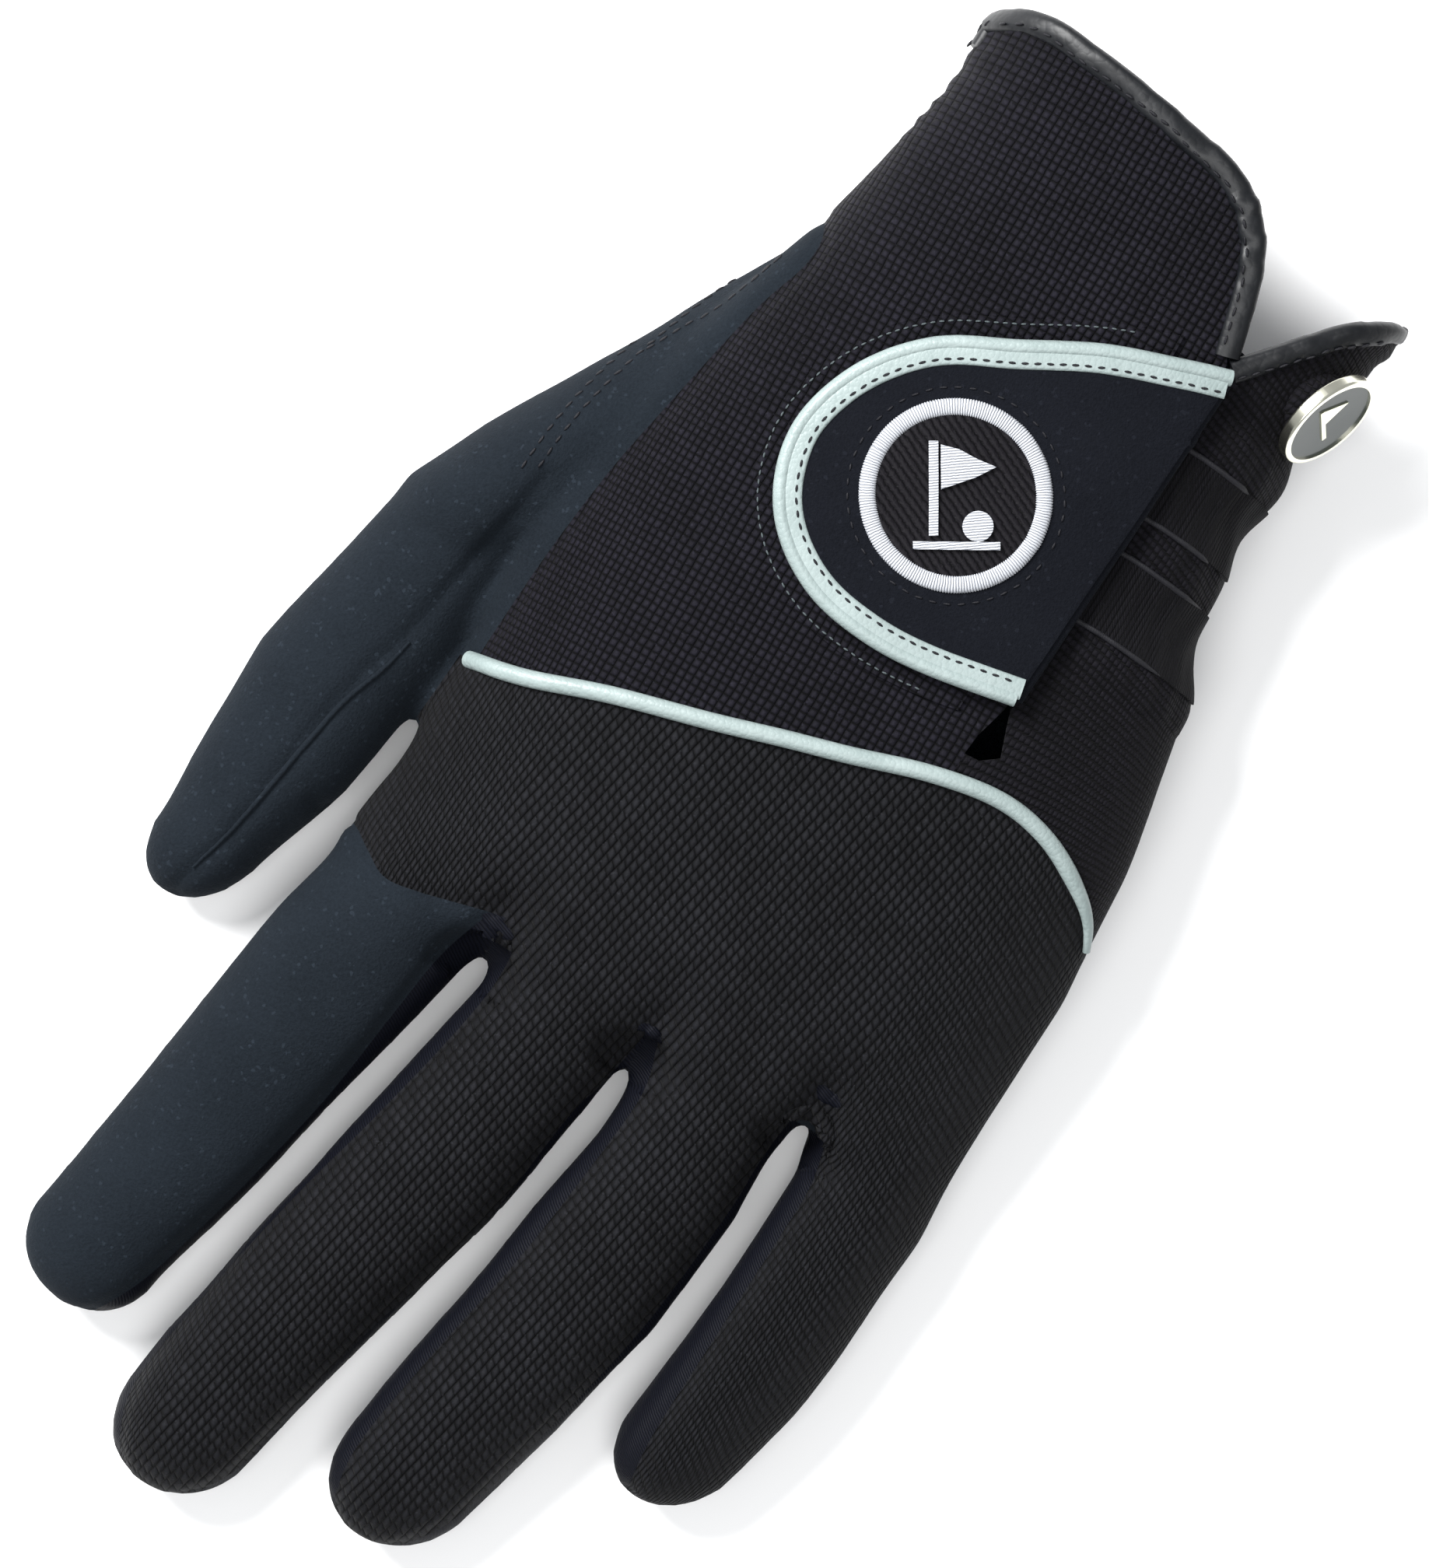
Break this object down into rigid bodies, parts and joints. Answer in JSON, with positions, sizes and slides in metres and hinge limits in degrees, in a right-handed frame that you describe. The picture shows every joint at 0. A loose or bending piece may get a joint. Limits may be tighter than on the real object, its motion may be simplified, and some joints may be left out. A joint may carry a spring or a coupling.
{
  "type": "golf glove",
  "caption": "Left-hand glove lying palm down: knit back, suede palm and digits, hook-and-loop tab with an embroidered badge, elastic wrist and a ball marker on a stud.",
  "frame": {"origin": "on the flat the palm rests on, under the middle of the hand", "axes": "+Z out of the back of the hand, +Y towards the cuff and -Y the way the fingers point, +X towards the little finger"},
  "size_m": [0.1259, 0.2417, 0.035],
  "materials": {
    "suede": "matte microfibre suede",
    "knit": "coarse black mesh knit",
    "lycra": "smooth navy-black stretch cloth",
    "pale_leather": "pale green, smooth",
    "black_leather": "grained, slight sheen",
    "elastic": "woven elastic",
    "loop_pile": "brushed loop pile",
    "hook_tape": "hook tape",
    "badge_twill": "dark twill",
    "white_thread": "satin stitch",
    "socket_plastic": "black, matte",
    "marker_metal": "polished",
    "enamel": "dark grey-green enamel",
    "pale_brass": "polished"
  },
  "bodies": {
    "hand": {"palm_panel": "suede", "knuckle_panel": "knit", "wrist_back_panel": "knit", "outer_wrist_panel": "knit", "knuckle_piping": "pale_leather", "cuff_binding": "black_leather", "ear_binding": "black_leather", "lower_elastic_band": "elastic", "upper_elastic_band": "elastic", "gusset_index_middle": "lycra", "gusset_middle_ring": "lycra", "gusset_ring_little": "lycra", "loop_pad": "loop_pile", "tab_hinge_seam": "suede", "marker_socket": "socket_plastic"},
    "index_finger": {"index_back": "suede", "index_palm": "suede", "index_side_wall": "lycra"},
    "middle_finger": {"middle_back": "knit", "middle_palm": "suede", "middle_side_wall_left": "lycra", "middle_side_wall_right": "lycra"},
    "ring_finger": {"ring_back": "knit", "ring_palm": "suede", "ring_side_wall_left": "lycra", "ring_side_wall_right": "lycra"},
    "little_finger": {"little_back": "knit", "little_palm": "suede", "little_side_wall": "lycra"},
    "thumb": {"thumb_outer_panel": "suede", "thumb_inner_panel": "suede"},
    "closure_tab": {"closure_tab": "suede", "tab_piping": "pale_leather", "hook_pad": "hook_tape", "badge_disc": "badge_twill", "badge_ring": "white_thread", "badge_emblem": "white_thread"},
    "ball_marker": {"marker_cup": "marker_metal", "marker_enamel": "enamel", "marker_emblem": "pale_brass", "marker_stud": "marker_metal"}
  },
  "joints": [
    {"name": "index_flex", "type": "hinge", "parent": "hand", "child": "index_finger", "pos_m": [-0.034, -0.046, 0], "axis": [1, 0, 0], "range_deg": [0, 70]},
    {"name": "middle_flex", "type": "hinge", "parent": "hand", "child": "middle_finger", "pos_m": [-0.007, -0.046, 0], "axis": [1, 0, 0], "range_deg": [0, 70]},
    {"name": "ring_flex", "type": "hinge", "parent": "hand", "child": "ring_finger", "pos_m": [0.017, -0.046, 0], "axis": [1, 0, 0], "range_deg": [0, 70]},
    {"name": "little_flex", "type": "hinge", "parent": "hand", "child": "little_finger", "pos_m": [0.042, -0.046, 0], "axis": [1, 0, 0], "range_deg": [0, 70]},
    {"name": "thumb_spread", "type": "hinge", "parent": "hand", "child": "thumb", "pos_m": [-0.0637, 0.008, 0.0107], "axis": [0, 0, -1], "range_deg": [0, 30]},
    {"name": "tab_open", "type": "hinge", "parent": "hand", "child": "closure_tab", "pos_m": [0.0254, 0.0492, 0.03105], "axis": [0.0437, 0.9986, 0.031], "range_deg": [0, 150]},
    {"name": "marker_pull", "type": "slide", "parent": "hand", "child": "ball_marker", "axis": [0.8494, -0.3198, 0.4197], "range_m": [0, 0.01]}
  ]
}
